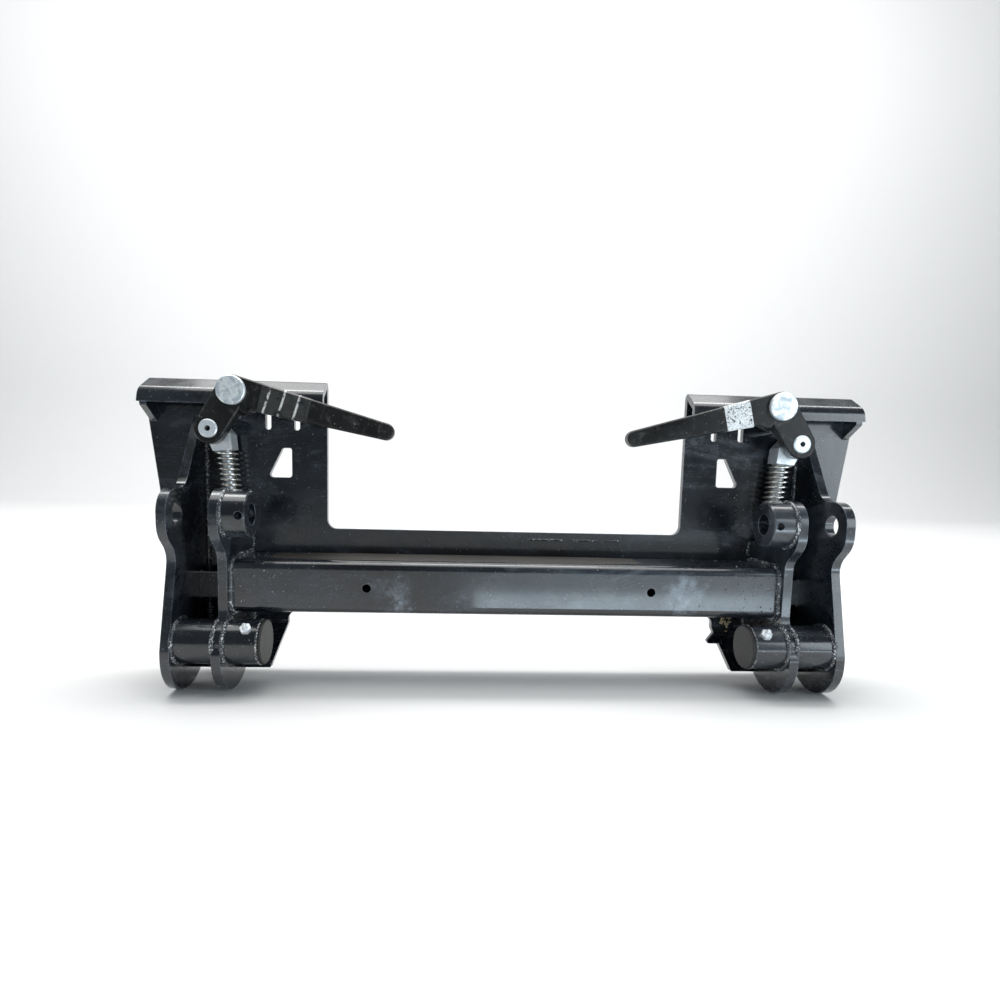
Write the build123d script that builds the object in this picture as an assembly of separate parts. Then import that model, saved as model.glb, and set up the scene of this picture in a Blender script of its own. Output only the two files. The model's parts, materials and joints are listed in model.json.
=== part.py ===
from build123d import *
import math
import os

os.makedirs("parts", exist_ok=True)

# Quick coupler for a compact loader. Millimetres, +Z up, mirror plane X = 0.
# The attachment side faces +Y and the loader side faces -Y.
# Origin: middle of the plate's attachment face, level with the cross tube's axis.

# --- Face plate -----------------------------------------------------------------------------
PLATE_T = 9.5            # plate thickness
RIDGE_Z = 310.0          # sharp corner of the hook ridge, before rounding
RIDGE_HALF = 545.0       # half length of the ridge
LIP_DEPTH = 42.5         # how far the folded lip reaches behind the attachment face
LIP_DROP = 30.0          # fall of the sloped fold from that corner to the lip
RIDGE_R = 10.0
LIP_R = 20.0             # outer bend between slope and lip
LIP_FOOT_Z = 262.0       # lower edge of the folded lip
EDGE_X0 = 521.5          # half width of the plate at Z = 0
EDGE_TAPER = 0.127       # growth of the half width per millimetre of height
WINDOW_HALF = 282.5      # half width of the view opening
SILL_Z = 76.0            # lower edge of the view opening
SILL_R = 14.0
BELLY_Z = -58.0          # lower edge of the plate between the feet
FOOT_IN_X = 344.5        # inner edge of a foot
FOOT_IN_DRIFT = 15.0     # how far that edge moves out towards the toe
FOOT_BEND_Z = -76.0      # where the foot leaves the vertical
FOOT_LEAN = 40.6         # lean of the foot towards the loader, degrees
TOE_Z = -134.0           # lower end of the foot
FOOT_TOP_Z = -72.0       # joint between the flat sheet and the foot
PORT_X = (337.0, 351.0, 373.5)   # three-cornered port: inner edge, upper corner, outer corner
PORT_Z = (154.6, 200.0)
PORT_R = 4.5
SLOT_X = (328.6, 372.4)  # upright slots under the lip
SLOT_W = 8.5
SLOT_H = 30.5
SLOT_TOP = 4.0           # below the lip's foot

# --- Cross tube -----------------------------------------------------------------------------
TUBE_H = 76.0
TUBE_D = 101.0
TUBE_WALL = 6.35
TUBE_R = 12.0
TUBE_HOLE_D = 12.5
TUBE_HOLE_X = 206.8

# --- Ears and pivots ------------------------------------------------------------------------
EAR_T = 12.7
EAR_IN_X = 398.5         # inboard face of the inner ear
EAR_GAP = 55.3           # clear width between the two ears of a pair
TILT_Y = -116.2          # axis of the tilt-cylinder pin
TILT_Z = 103.5
TILT_LOBE_R = 34.8
TILT_BORE_D = 30.2
TILT_BOSS_D = 65.0
TILT_BOSS_L = 33.9
TILT_LOCK_D = 11.0       # cross hole for the pin's lock bolt
TILT_LOCK_IN = 8.4       # from the boss's inner end
ARM_Y = -116.5           # axis of the lift-arm pivot
ARM_Z = -77.5
ARM_TUBE_D = 63.5
ARM_BUSH_D = 44.45
ARM_BUSH_ID = 38.1
ARM_BUSH_L = 60.0
ARM_TUBE_IN_X = 346.2    # inner end of the pivot tube, over its cap
ARM_CAP_T = 6.35
SEAL_WALL = 3.25         # tube wall left outside the seal
SEAL_ID = 40.0
SEAL_T = 6.0
HEEL_Z = -151.5          # lowest line of the ears
LOBE_REACH = 36.0        # from the lift-arm axis to the ear's loader edge
HEEL_R = 57.0            # round heel on the loader side
HEEL_END_R = 70.0        # and its softer rise to the foot
HEEL_END_Y = -72.0
WAIST_IN = 5.3           # waist of the ears, from the tilt axis
WAIST_Z = 47.0
INNER_WAIST_Z = -38.0    # lower end of the inner ear's straight waist
INNER_TOP_Z = 70.0       # inner ear's edge beside the plate
STRIP_TOP_Z = 241.0      # outer ear's strip up the plate
STRIP_TOP_D = 16.5       # depth of that strip at its top
STRIP_FOOT = 27.7        # where it meets the lobe, from the tilt axis
GREASE_X = 367.5
GUSSET_IN_X = 540.0      # end gusset that closes the hook under the lip
GUSSET_T = 9.5
GUSSET_FOOT_Z = 236.0

# --- Lever, strut and wedge -----------------------------------------------------------------
LEVER_X = 408.0          # lever pivot
LEVER_Z = 278.7
LEVER_REAR = 3.5         # gap from the lip to the lever's rear face
LEVER_T = 19.0
LEVER_REACH = 227.5      # pivot to the centre of the handle's round end
LEVER_DROOP = 13.5       # handle's fall towards the middle, degrees
HUB_R = 22.5
TIP_R = 12.5
CRANK_REACH = 64.9
CRANK_SPLAY = 31.7       # crank's lean outboard of straight down, degrees
CRANK_R = 22.0
PIVOT_D = 25.4
PIVOT_HEAD_D = 41.8
PIVOT_HEAD_T = 6.5
CRANK_HEAD_D = 27.0
CRANK_PIN_D = 16.0
CRANK_CENTRE_D = 8.0     # lathe centre hole in the crank pin's face
STRUT_Y = -31.0          # plane of the strut's axis
STRUT_L = 137.0          # crank pin to wedge pin
STRUT_TILT = 5.5         # strut's lean, lower end inboard, degrees
ROD_OFFSET = 9.5         # rod and spring, inboard of the line between the strut's pins
CLEVIS_W = 28.0
CLEVIS_EYE_R = 14.5
CLEVIS_D = 28.0
CLEVIS_H = 32.0          # from the crank pin to the block's lower face
ROD_D = 16.0
SPRING_D = 36.0
WIRE_D = 4.5
SPRING_L = 78.0
SPRING_TURNS = 10.5
SEAT_T = 3.0
TONGUE_T = 10.0
SHOULDER_R = 11.0        # round shoulder above the lower eye's tongue
FORK_R = 13.0            # half width of the wedge and radius of its fork
WEDGE_PIN_D = 12.7
WEDGE_FRONT = -12.0      # wedge's attachment-side face
WEDGE_T = 22.0
WEDGE_TIP_Z = -135.0
WEDGE_BEVEL_H = 40.0
WEDGE_BEVEL_T = 10.0
STOP_D = 13.0
STOP_DROP = 33.5         # stop pin below the lever pivot
STOP_TAB_W = 13.0
FORK_WALL = 9.5          # loader-side wall of the wedge's fork
FORK_DROP = 34.0         # from the wedge pin to the fork block's foot
GUIDE_Z = (-30.0, 10.0)
GUIDE_T = 10.0

# --- Clearances -----------------------------------------------------------------------------
RUN = 0.05               # radial running fit
SIDE = 0.3               # side play between moving faces
SLOT_PLAY = 1.5          # wedge in the foot slot
SWEEP_IN = 2.5           # wedge's side travel towards the middle
SWEEP_OUT = 2.5          # wedge's side travel away from it

# --- Derived places -------------------------------------------------------------------------
REAR = -PLATE_T
EAR_OUT_X = EAR_IN_X + EAR_T + EAR_GAP
EAR_END_X = EAR_OUT_X + EAR_T
LEVER_BACK = -(LIP_DEPTH + LEVER_REAR)
LEVER_FRONT = LEVER_BACK - LEVER_T
TILT_LOBE_TOP = TILT_Z + TILT_LOBE_R
SLOPE = LIP_DROP / LIP_DEPTH
INNER_RIDGE_Z = RIDGE_Z - PLATE_T / math.cos(math.atan(SLOPE))  # under the slope, at Y = 0
LEAN = math.radians(FOOT_LEAN)
BOSS_IN_X = EAR_IN_X - TILT_BOSS_L
SEAT_END = CLEVIS_H + SPRING_L + SEAT_T
SEAL_D = ARM_TUBE_D - 2 * SEAL_WALL


def polar(angle_deg, reach):
    """Offset in X and Z, angle measured from straight down towards +X."""
    a = math.radians(angle_deg)
    return reach * math.sin(a), -reach * math.cos(a)


CRANK_X = LEVER_X + polar(CRANK_SPLAY, CRANK_REACH)[0]
CRANK_Z = LEVER_Z + polar(CRANK_SPLAY, CRANK_REACH)[1]
WEDGE_X = CRANK_X + polar(-STRUT_TILT, STRUT_L)[0]
WEDGE_Z = CRANK_Z + polar(-STRUT_TILT, STRUT_L)[1]


# --- Helpers --------------------------------------------------------------------------------
def rounded(points):
    """Closed outline; each point is (a, b) or (a, b, corner radius)."""
    face = make_face(Polyline([p[:2] for p in points], close=True))
    for p in points:
        if len(p) == 3:
            corner = face.vertices().sort_by_distance((p[0], p[1], 0))[0]
            face = fillet(corner, p[2])
    return face


def along_x(face, x0, x1):
    """Y-Z outline pushed from x0 to x1."""
    return extrude(Plane.YZ.offset(x0) * face, x1 - x0)


def along_y(face, y0, y1):
    """X-Z outline pushed from y0 back to y1 (y1 < y0)."""
    return extrude(Plane.XZ.offset(-y0) * face, y0 - y1)


def rod_x(x0, x1, y, z, d):
    return along_x(Pos(y, z) * Circle(d / 2), x0, x1)


def rod_y(y0, y1, x, z, d):
    return along_y(Pos(x, z) * Circle(d / 2), y0, y1)


def box(x0, x1, y0, y1, z0, z1):
    return Pos((x0 + x1) / 2, (y0 + y1) / 2, (z0 + z1) / 2) * Box(x1 - x0, y1 - y0, z1 - z0)


def disc_hull(*discs):
    """Flat outline stretched round discs given as (x, z, r)."""
    edges = []
    for x, z, r in discs:
        edges += (Pos(x, z) * Circle(r)).edges()
    return make_hull(edges)


def in_strut(shape):
    """Places a shape drawn with the crank pin at the origin and the strut hanging down."""
    return Pos(CRANK_X, STRUT_Y, CRANK_Z) * Rot(0, STRUT_TILT, 0) * shape


def on_rod(shape):
    """Places a shape drawn about the rod's axis, level with the crank pin."""
    return in_strut(Pos(-ROD_OFFSET, 0, 0) * shape)


def save(name, shape):
    solids = shape.solids()
    export_step(solids[0] if len(solids) == 1 else Compound(children=list(solids)),
                "parts/" + name + ".step")


def save_pair(name, shape):
    """Writes the right-hand shape and its mirror image."""
    save("right_" + name, shape)
    save("left_" + name, mirror(shape, about=Plane.YZ))


# --- Face plate -----------------------------------------------------------------------------
def edge_x(z):
    return EDGE_X0 + EDGE_TAPER * z


def plate_profile():
    """Side view of the sheet: hook ridge and lip on top, leaning foot below."""
    lip_in = -(LIP_DEPTH - PLATE_T)
    toe = (FOOT_BEND_Z - TOE_Z) * math.tan(LEAN)
    front_bend = FOOT_BEND_Z - PLATE_T * math.tan(LEAN / 2)
    front_toe = (front_bend - TOE_Z) * math.tan(LEAN)
    return rounded([
        (0, RIDGE_Z, RIDGE_R),
        (-LIP_DEPTH, RIDGE_Z - LIP_DROP, LIP_R),
        (-LIP_DEPTH, LIP_FOOT_Z),
        (lip_in, LIP_FOOT_Z),
        (lip_in, INNER_RIDGE_Z + SLOPE * lip_in),
        (REAR, INNER_RIDGE_Z + SLOPE * REAR),
        (REAR, FOOT_BEND_Z),
        (REAR - toe, TOE_Z),
        (-front_toe, TOE_Z),
        (0, front_bend, PLATE_T),
    ])


def plate_outline():
    """Front view of the sheet: two wings, the open middle and the two feet."""
    foot_toe_x = FOOT_IN_X + FOOT_IN_DRIFT
    right = [
        (WINDOW_HALF, RIDGE_Z + 1),
        (RIDGE_HALF, RIDGE_Z + 1),
        (RIDGE_HALF, RIDGE_Z - 1),
        (RIDGE_HALF + 7, RIDGE_Z - LIP_DROP + 2, 6),
        (edge_x(LIP_FOOT_Z), LIP_FOOT_Z - 4, 10),
        (edge_x(TOE_Z), TOE_Z - 1),
        (foot_toe_x, TOE_Z - 1),
        (FOOT_IN_X, FOOT_BEND_Z, 10),
        (FOOT_IN_X, BELLY_Z, 12),
    ]
    sill = [(WINDOW_HALF, SILL_Z, SILL_R)]
    left = [(-p[0],) + p[1:] for p in right]
    return rounded(right + left[::-1] + [(-p[0],) + p[1:] for p in sill] + sill)


def port():
    """Small three-cornered port in a wing."""
    inner, upper, outer = PORT_X
    low, high = PORT_Z
    return rounded([(outer, low, PORT_R), (inner, low, PORT_R), (inner, high, PORT_R - 1),
                    (upper, high, PORT_R)])


def slot(x):
    """Upright slot with round ends, its upper end under the lip."""
    return Pos(x, LIP_FOOT_Z - SLOT_TOP - SLOT_H / 2) * SlotOverall(SLOT_H, SLOT_W, rotation=90)


def lip_notch():
    """Arch in the lip's lower edge that the clevis swings up into."""
    middle = LEVER_X - CRANK_REACH * math.cos(math.radians(CRANK_SPLAY))
    top = RIDGE_Z - LIP_DROP + 0.5
    return rounded([(middle - CLEVIS_W, LIP_FOOT_Z - 1), (middle + CLEVIS_W, LIP_FOOT_Z - 1),
                    (middle + CLEVIS_W, top, 14), (middle - CLEVIS_W, top, 14)])


def bent_sheet():
    """The whole sheet, feet included, with every opening cut."""
    sheet = along_x(plate_profile(), -RIDGE_HALF - 20, RIDGE_HALF + 20)
    sheet = sheet & along_y(plate_outline(), 60, -90)
    wedge_low = WEDGE_X - FORK_R - SWEEP_IN - SLOT_PLAY
    wedge_high = WEDGE_X + FORK_R + SWEEP_OUT + SLOT_PLAY
    cuts = [
        along_y(port(), 1, REAR - 1),
        along_y(slot(SLOT_X[0]), 1, REAR - 1),
        along_y(slot(SLOT_X[1]), 1, REAR - 1),
        along_y(lip_notch(), REAR - 4, -LIP_DEPTH - 5),
        rod_y(1, -LIP_DEPTH - 5, LEVER_X, LEVER_Z, PIVOT_D),
        box(wedge_low, wedge_high, WEDGE_FRONT - WEDGE_T - SLOT_PLAY, WEDGE_FRONT + SLOT_PLAY,
            TOE_Z + 2, FOOT_BEND_Z - 1),
    ]
    for cut in cuts:
        sheet = sheet - cut - mirror(cut, about=Plane.YZ)
    return sheet


def face_plate(sheet):
    return sheet - box(-RIDGE_HALF - 20, RIDGE_HALF + 20, -90, 10, TOE_Z - 10, FOOT_TOP_Z)


def foot(sheet):
    """Foot that leans towards the loader, slotted for the wedge."""
    return sheet & box(0, RIDGE_HALF + 20, -90, 10, TOE_Z - 10, FOOT_TOP_Z)


# --- Cross tube -----------------------------------------------------------------------------
def cross_tube():
    outer = Pos(REAR - TUBE_D / 2, 0) * RectangleRounded(TUBE_D, TUBE_H, TUBE_R)
    inner = Pos(REAR - TUBE_D / 2, 0) * RectangleRounded(
        TUBE_D - 2 * TUBE_WALL, TUBE_H - 2 * TUBE_WALL, TUBE_R - TUBE_WALL)
    tube = along_x(outer - inner, -EAR_IN_X, EAR_IN_X)
    for x in (-TUBE_HOLE_X, TUBE_HOLE_X):
        tube -= rod_y(REAR - TUBE_D / 2, REAR - TUBE_D - 1, x, 0, TUBE_HOLE_D)
    return tube


# --- Ears -----------------------------------------------------------------------------------
def ear_points(waist, top):
    """Loader-side edge of an ear, then its heel and its line along the plate and foot."""
    toe = REAR - (FOOT_BEND_Z - TOE_Z) * math.tan(LEAN)
    nose = toe + PLATE_T / math.cos(LEAN)
    return top + [
        (TILT_Y - TILT_LOBE_R, TILT_LOBE_TOP, TILT_LOBE_R - 1),
        (TILT_Y - TILT_LOBE_R, TILT_Z - 27, TILT_LOBE_R - 1),
    ] + waist + [
        (ARM_Y - LOBE_REACH, HEEL_Z, HEEL_R),
        (HEEL_END_Y, HEEL_Z, HEEL_END_R),
        (nose, TOE_Z),
        (toe, TOE_Z),
        (REAR, FOOT_BEND_Z),
    ]


def pierced(ear, x0, x1):
    ear -= rod_x(x0 - 1, x1 + 1, TILT_Y, TILT_Z, TILT_BORE_D)
    return ear - rod_x(x0 - 1, x1 + 1, ARM_Y, ARM_Z, ARM_TUBE_D)


def outer_ear():
    """Outboard ear, with a strip that runs on up the plate."""
    top = [(REAR, STRIP_TOP_Z), (REAR - STRIP_TOP_D, STRIP_TOP_Z, 8),
           (TILT_Y + STRIP_FOOT, TILT_LOBE_TOP, 30)]
    waist = [(TILT_Y - WAIST_IN, WAIST_Z, 30), (ARM_Y - LOBE_REACH, ARM_Z - 6.5, 30)]
    return pierced(along_x(rounded(ear_points(waist, top)), EAR_OUT_X, EAR_END_X), EAR_OUT_X, EAR_END_X)


def inner_ear():
    """Inboard ear, cut low beside the plate where the strut swings."""
    lobe_y, waist_y = TILT_Y + TILT_LOBE_R, TILT_Y - WAIST_IN
    top = [(REAR, INNER_TOP_Z), (lobe_y, INNER_TOP_Z, 10), (lobe_y, TILT_LOBE_TOP, TILT_LOBE_R - 1)]
    waist = [(waist_y, WAIST_Z, 22), (waist_y, INNER_WAIST_Z, 24), (ARM_Y - LOBE_REACH, ARM_Z - 6.5, 24)]
    x1 = EAR_IN_X + EAR_T
    return pierced(along_x(rounded(ear_points(waist, top)), EAR_IN_X, x1), EAR_IN_X, x1)


def end_gusset():
    """Plate that closes the hook's outer end and slopes back to the wing below the lip."""
    lip_in = -(LIP_DEPTH - PLATE_T)
    outline = rounded([(REAR, GUSSET_FOOT_Z), (-LIP_DEPTH, LIP_FOOT_Z - 5, 3), (-LIP_DEPTH, LIP_FOOT_Z),
                       (lip_in, LIP_FOOT_Z), (lip_in, INNER_RIDGE_Z + SLOPE * lip_in),
                       (REAR, INNER_RIDGE_Z + SLOPE * REAR)])
    return along_x(outline, GUSSET_IN_X, GUSSET_IN_X + GUSSET_T)


def tilt_boss():
    """Round boss inboard of the inner ear, with the lock bolt's cross hole."""
    boss = rod_x(BOSS_IN_X, EAR_IN_X, TILT_Y, TILT_Z, TILT_BOSS_D)
    boss = chamfer(boss.edges().group_by(Axis.X)[0], 1.5)
    boss -= rod_x(BOSS_IN_X - 1, EAR_IN_X + 1, TILT_Y, TILT_Z, TILT_BORE_D)
    lock_x = BOSS_IN_X + TILT_LOCK_IN
    return boss - rod_y(TILT_Y + TILT_BOSS_D, TILT_Y - TILT_BOSS_D, lock_x, TILT_Z, TILT_LOCK_D)


# --- Lift-arm pivot -------------------------------------------------------------------------
def grease_frame(reach, shape):
    """Places a shape drawn along +Z on the tube's upper loader-side quarter."""
    return Pos(GREASE_X, ARM_Y, ARM_Z) * Rot(45, 0, 0) * Pos(0, 0, reach) * shape


def arm_tube():
    """Cross tube of the lift-arm pivot: bush bore, seal seat and grease hole."""
    tube = rod_x(ARM_TUBE_IN_X + ARM_CAP_T, EAR_END_X, ARM_Y, ARM_Z, ARM_TUBE_D)
    tube -= rod_x(ARM_TUBE_IN_X, EAR_END_X + 1, ARM_Y, ARM_Z, ARM_BUSH_D)
    tube -= rod_x(EAR_END_X - SEAL_T, EAR_END_X + 1, ARM_Y, ARM_Z, SEAL_D)
    grease_hole = Cylinder(4, ARM_TUBE_D / 2, align=(Align.CENTER, Align.CENTER, Align.MIN))
    return tube - grease_frame(ARM_TUBE_D / 4, grease_hole)


def arm_cap():
    cap = rod_x(ARM_TUBE_IN_X, ARM_TUBE_IN_X + ARM_CAP_T, ARM_Y, ARM_Z, ARM_TUBE_D)
    return chamfer(cap.edges().group_by(Axis.X)[0], 1.2)


def ring_x(x0, x1, y, z, outer_d, inner_d):
    return rod_x(x0, x1, y, z, outer_d) - rod_x(x0 - 1, x1 + 1, y, z, inner_d)


def arm_bush():
    end = EAR_END_X - SEAL_T
    return ring_x(end - ARM_BUSH_L, end, ARM_Y, ARM_Z, ARM_BUSH_D, ARM_BUSH_ID)


def arm_seal():
    seal = ring_x(EAR_END_X - SEAL_T, EAR_END_X, ARM_Y, ARM_Z, SEAL_D, SEAL_ID)
    groove = ring_x(EAR_END_X - 1.5, EAR_END_X + 1, ARM_Y, ARM_Z, SEAL_D - 7, SEAL_ID + 5)
    return seal - groove


def grease_fitting():
    up = (Align.CENTER, Align.CENTER, Align.MIN)
    stem = grease_frame(ARM_BUSH_D / 2 + 0.5, Cylinder(4, ARM_TUBE_D / 2 - ARM_BUSH_D / 2, align=up))
    hexagon = grease_frame(ARM_TUBE_D / 2 + 0.1, extrude(RegularPolygon(8, 6), 5.5))
    neck = grease_frame(ARM_TUBE_D / 2 + 5, Cone(4.6, 2.6, 6, align=up))
    ball = grease_frame(ARM_TUBE_D / 2 + 12, Sphere(3.3))
    return stem + hexagon + neck + ball


# --- Lever ----------------------------------------------------------------------------------
def lever():
    """Bell crank: handle, hub, crank arm and the tab that meets the stop pin."""
    tip_x, tip_z = polar(LEVER_DROOP - 90, LEVER_REACH)
    handle = disc_hull((LEVER_X, LEVER_Z, HUB_R), (LEVER_X + tip_x, LEVER_Z + tip_z, TIP_R))
    crank = disc_hull((LEVER_X, LEVER_Z, HUB_R), (CRANK_X, CRANK_Z, CRANK_R))
    web = Pos(LEVER_X - 20, LEVER_Z - 22) * Circle(11)
    body = along_y(handle + crank + web, LEVER_BACK, LEVER_FRONT)
    body = chamfer(body.faces().sort_by(Axis.Y)[0].edges(), 2)
    body = chamfer(body.faces().sort_by(Axis.Y)[-1].edges(), 2)
    body += rod_y(LEVER_BACK + LEVER_REAR - 1, LEVER_BACK - 1, LEVER_X, LEVER_Z, 2 * HUB_R - 3)
    body += stop_tab()
    body -= rod_y(LEVER_BACK + LEVER_REAR + 1, LEVER_FRONT - 1, LEVER_X, LEVER_Z, PIVOT_D + 2 * RUN)
    return body - rod_y(LEVER_BACK + 1, LEVER_FRONT - 1, CRANK_X, CRANK_Z, CRANK_HEAD_D)


def stop_tab():
    """Tab behind the hub, just inboard of the stop pin when the lever is down."""
    edge = LEVER_X - STOP_D / 2 - SIDE
    tab = rounded([(edge, LEVER_Z - 10), (edge, LEVER_Z - STOP_DROP - 4, 3),
                   (edge - STOP_TAB_W, LEVER_Z - STOP_DROP + 1, 5), (edge - STOP_TAB_W, LEVER_Z - 10)])
    return along_y(tab, LEVER_BACK + LEVER_REAR - 1, LEVER_BACK - 1)


def lever_pin():
    """Headed pivot pin, welded into the plate just short of the attachment face."""
    head = rod_y(LEVER_FRONT - SIDE, LEVER_FRONT - SIDE - PIVOT_HEAD_T, LEVER_X, LEVER_Z, PIVOT_HEAD_D)
    head = chamfer(head.edges().group_by(Axis.Y)[0], 1.5)
    return head + rod_y(-1.5, LEVER_FRONT - SIDE, LEVER_X, LEVER_Z, PIVOT_D)


def stop_pin():
    stop = rod_y(REAR, LEVER_BACK + 0.5, LEVER_X, LEVER_Z - STOP_DROP, STOP_D)
    return chamfer(stop.edges().group_by(Axis.Y)[0], 1)


def crank_pin():
    """Stepped pin: wide in the lever, thin through the clevis, centre-drilled in front."""
    head = rod_y(LEVER_BACK, LEVER_FRONT - 3, CRANK_X, CRANK_Z, CRANK_HEAD_D)
    head = chamfer(head.edges().group_by(Axis.Y)[0], 1.5)
    head -= rod_y(LEVER_FRONT + 6, LEVER_FRONT - 4, CRANK_X, CRANK_Z, CRANK_CENTRE_D)
    tail = STRUT_Y + CLEVIS_D / 2 + 4
    shank = rod_y(tail, LEVER_BACK, CRANK_X, CRANK_Z, CRANK_PIN_D)
    shank = chamfer(shank.edges().group_by(Axis.Y)[-1], 1)
    return head + shank - clip_ring()


def clip_ring():
    """Full ring that fills the crank pin's groove behind the clevis."""
    y0 = STRUT_Y + CLEVIS_D / 2 + 2.2
    ring = rod_y(y0, y0 - 1.6, CRANK_X, CRANK_Z, CRANK_PIN_D + 7)
    return ring - rod_y(y0 + 1, y0 - 3, CRANK_X, CRANK_Z, CRANK_PIN_D - 2)


def crank_clip():
    """Snap ring: the ring with its gap at the bottom."""
    gap = box(CRANK_X - 2.5, CRANK_X + 2.5, STRUT_Y, 0, CRANK_Z - 20, CRANK_Z - CRANK_PIN_D / 2 + 2)
    return clip_ring() - gap


# --- Strut ----------------------------------------------------------------------------------
def clevis():
    """Square block on the rod, its eye set off to the side and turning on the crank pin."""
    half = CLEVIS_W / 2
    lower = Pos(-ROD_OFFSET, -CLEVIS_H * 0.62) * Rectangle(CLEVIS_W, CLEVIS_H * 0.76)
    outline = make_hull(Circle(CLEVIS_EYE_R).edges() + lower.edges())
    block = extrude(Plane.XZ.offset(-CLEVIS_D / 2) * outline, CLEVIS_D)
    block = chamfer(block.edges().group_by(Axis.Z)[0], 1)
    block -= Rot(90, 0, 0) * Cylinder(CRANK_PIN_D / 2 + RUN, CLEVIS_D + 2)
    return in_strut(block - Pos(-ROD_OFFSET, 0, -CLEVIS_H) * Cylinder(ROD_D / 2, 2 * (CLEVIS_H - half + 1)))


def strut_rod():
    """Plain rod, screwed into the clevis above and into the lower eye."""
    top = -(CLEVIS_W / 2 - 1)
    low = -(SEAT_END + 4)
    return on_rod(Pos(0, 0, (top + low) / 2) * Cylinder(ROD_D / 2, top - low))


def strut_spring():
    """Round-wire compression spring with ground ends."""
    pitch = (SPRING_L + WIRE_D) / SPRING_TURNS
    radius = (SPRING_D - WIRE_D) / 2
    path = Helix(pitch, SPRING_L + WIRE_D, radius)
    section = Plane(path @ 0, z_dir=path % 0) * Circle(WIRE_D / 2)
    coil = sweep(section, path=path, is_frenet=True)
    coil = Pos(0, 0, -CLEVIS_H - SPRING_L - WIRE_D / 2) * coil
    keep = Pos(0, 0, -CLEVIS_H - SPRING_L / 2) * Box(2 * SPRING_D, 2 * SPRING_D, SPRING_L)
    return on_rod(coil & keep)


def spring_seat():
    seat = Cylinder(SPRING_D / 2, SEAT_T) - Cylinder(ROD_D / 2, SEAT_T + 2)
    return on_rod(Pos(0, 0, -(SEAT_END - SEAT_T / 2)) * seat)


def strut_eye():
    """Lower eye: a round shoulder on the rod, and a flat tongue that turns in the wedge's fork."""
    top = -SEAT_END
    low = -(STRUT_L - FORK_R - 1.5)
    shoulder = Pos(-ROD_OFFSET, 0, (top + low) / 2) * Cylinder(SHOULDER_R, top - low)
    root = Pos(-ROD_OFFSET, low + 0.5) * Rectangle(2 * SHOULDER_R, 1)
    outline = make_hull((Pos(0, -STRUT_L) * Circle(FORK_R)).edges() + root.edges())
    tongue = extrude(Plane.XZ.offset(-TONGUE_T / 2) * outline, TONGUE_T)
    eye = shoulder + tongue - Pos(0, 0, -STRUT_L) * Rot(90, 0, 0) * Cylinder(WEDGE_PIN_D / 2 + RUN, 40)
    return in_strut(eye - Pos(-ROD_OFFSET, 0, top) * Cylinder(ROD_D / 2, 8))


# --- Wedge ----------------------------------------------------------------------------------
def fork_back():
    return STRUT_Y - TONGUE_T / 2 - SIDE - FORK_WALL


def wedge():
    """Forked block above, flat bevelled blade below."""
    fork = Pos(WEDGE_X, WEDGE_Z) * Circle(FORK_R) + Pos(WEDGE_X, WEDGE_Z - FORK_DROP / 2) * Rectangle(
        2 * FORK_R, FORK_DROP)
    body = along_y(fork, WEDGE_FRONT, fork_back())
    blade_back = WEDGE_FRONT - WEDGE_T
    blade = rounded([
        (WEDGE_FRONT, WEDGE_Z - 20),
        (WEDGE_FRONT, WEDGE_TIP_Z, 2),
        (blade_back + WEDGE_BEVEL_T, WEDGE_TIP_Z, 3),
        (blade_back, WEDGE_TIP_Z + WEDGE_BEVEL_H, 8),
        (blade_back, WEDGE_Z - 20),
    ])
    body += along_x(blade, WEDGE_X - FORK_R, WEDGE_X + FORK_R)
    slot_half = TONGUE_T / 2 + SIDE
    body -= box(WEDGE_X - 20, WEDGE_X + 20, STRUT_Y - slot_half, STRUT_Y + slot_half,
                WEDGE_Z - FORK_R - 2, WEDGE_Z + 20)
    return body - rod_y(0, -60, WEDGE_X, WEDGE_Z, WEDGE_PIN_D)


def wedge_pin():
    pin = rod_y(WEDGE_FRONT - 0.5, fork_back(), WEDGE_X, WEDGE_Z, WEDGE_PIN_D)
    head = rod_y(fork_back(), fork_back() - 3, WEDGE_X, WEDGE_Z, WEDGE_PIN_D + 6)
    return pin + chamfer(head.edges().group_by(Axis.Y)[0], 0.8)


def wedge_guide():
    """Flat bar between the ears that keeps the blade close to the plate."""
    face = WEDGE_FRONT - WEDGE_T - SLOT_PLAY
    bar = box(EAR_IN_X + EAR_T, EAR_OUT_X, face - GUIDE_T, face, *GUIDE_Z)
    return chamfer(bar.edges().filter_by(Axis.X), 1.5)


# --- Write the sub-parts --------------------------------------------------------------------
SHEET = bent_sheet()
save("face_plate", face_plate(SHEET))
save_pair("foot", foot(SHEET))
save("cross_tube", cross_tube())
for part_name, maker in {
    "outer_ear": outer_ear,
    "inner_ear": inner_ear,
    "end_gusset": end_gusset,
    "tilt_boss": tilt_boss,
    "arm_pivot_tube": arm_tube,
    "arm_pivot_cap": arm_cap,
    "arm_pivot_bush": arm_bush,
    "arm_pivot_seal": arm_seal,
    "grease_fitting": grease_fitting,
    "wedge_guide": wedge_guide,
    "lever_stop_pin": stop_pin,
    "lever_pivot_pin": lever_pin,
    "lever": lever,
    "crank_pin": crank_pin,
    "crank_pin_clip": crank_clip,
    "strut_clevis": clevis,
    "strut_rod": strut_rod,
    "strut_spring": strut_spring,
    "spring_seat": spring_seat,
    "strut_eye": strut_eye,
    "wedge": wedge,
    "wedge_pin": wedge_pin,
}.items():
    save_pair(part_name, maker())
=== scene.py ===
import json
import math
import random

import bmesh
import bpy
from mathutils import Matrix, Vector


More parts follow.
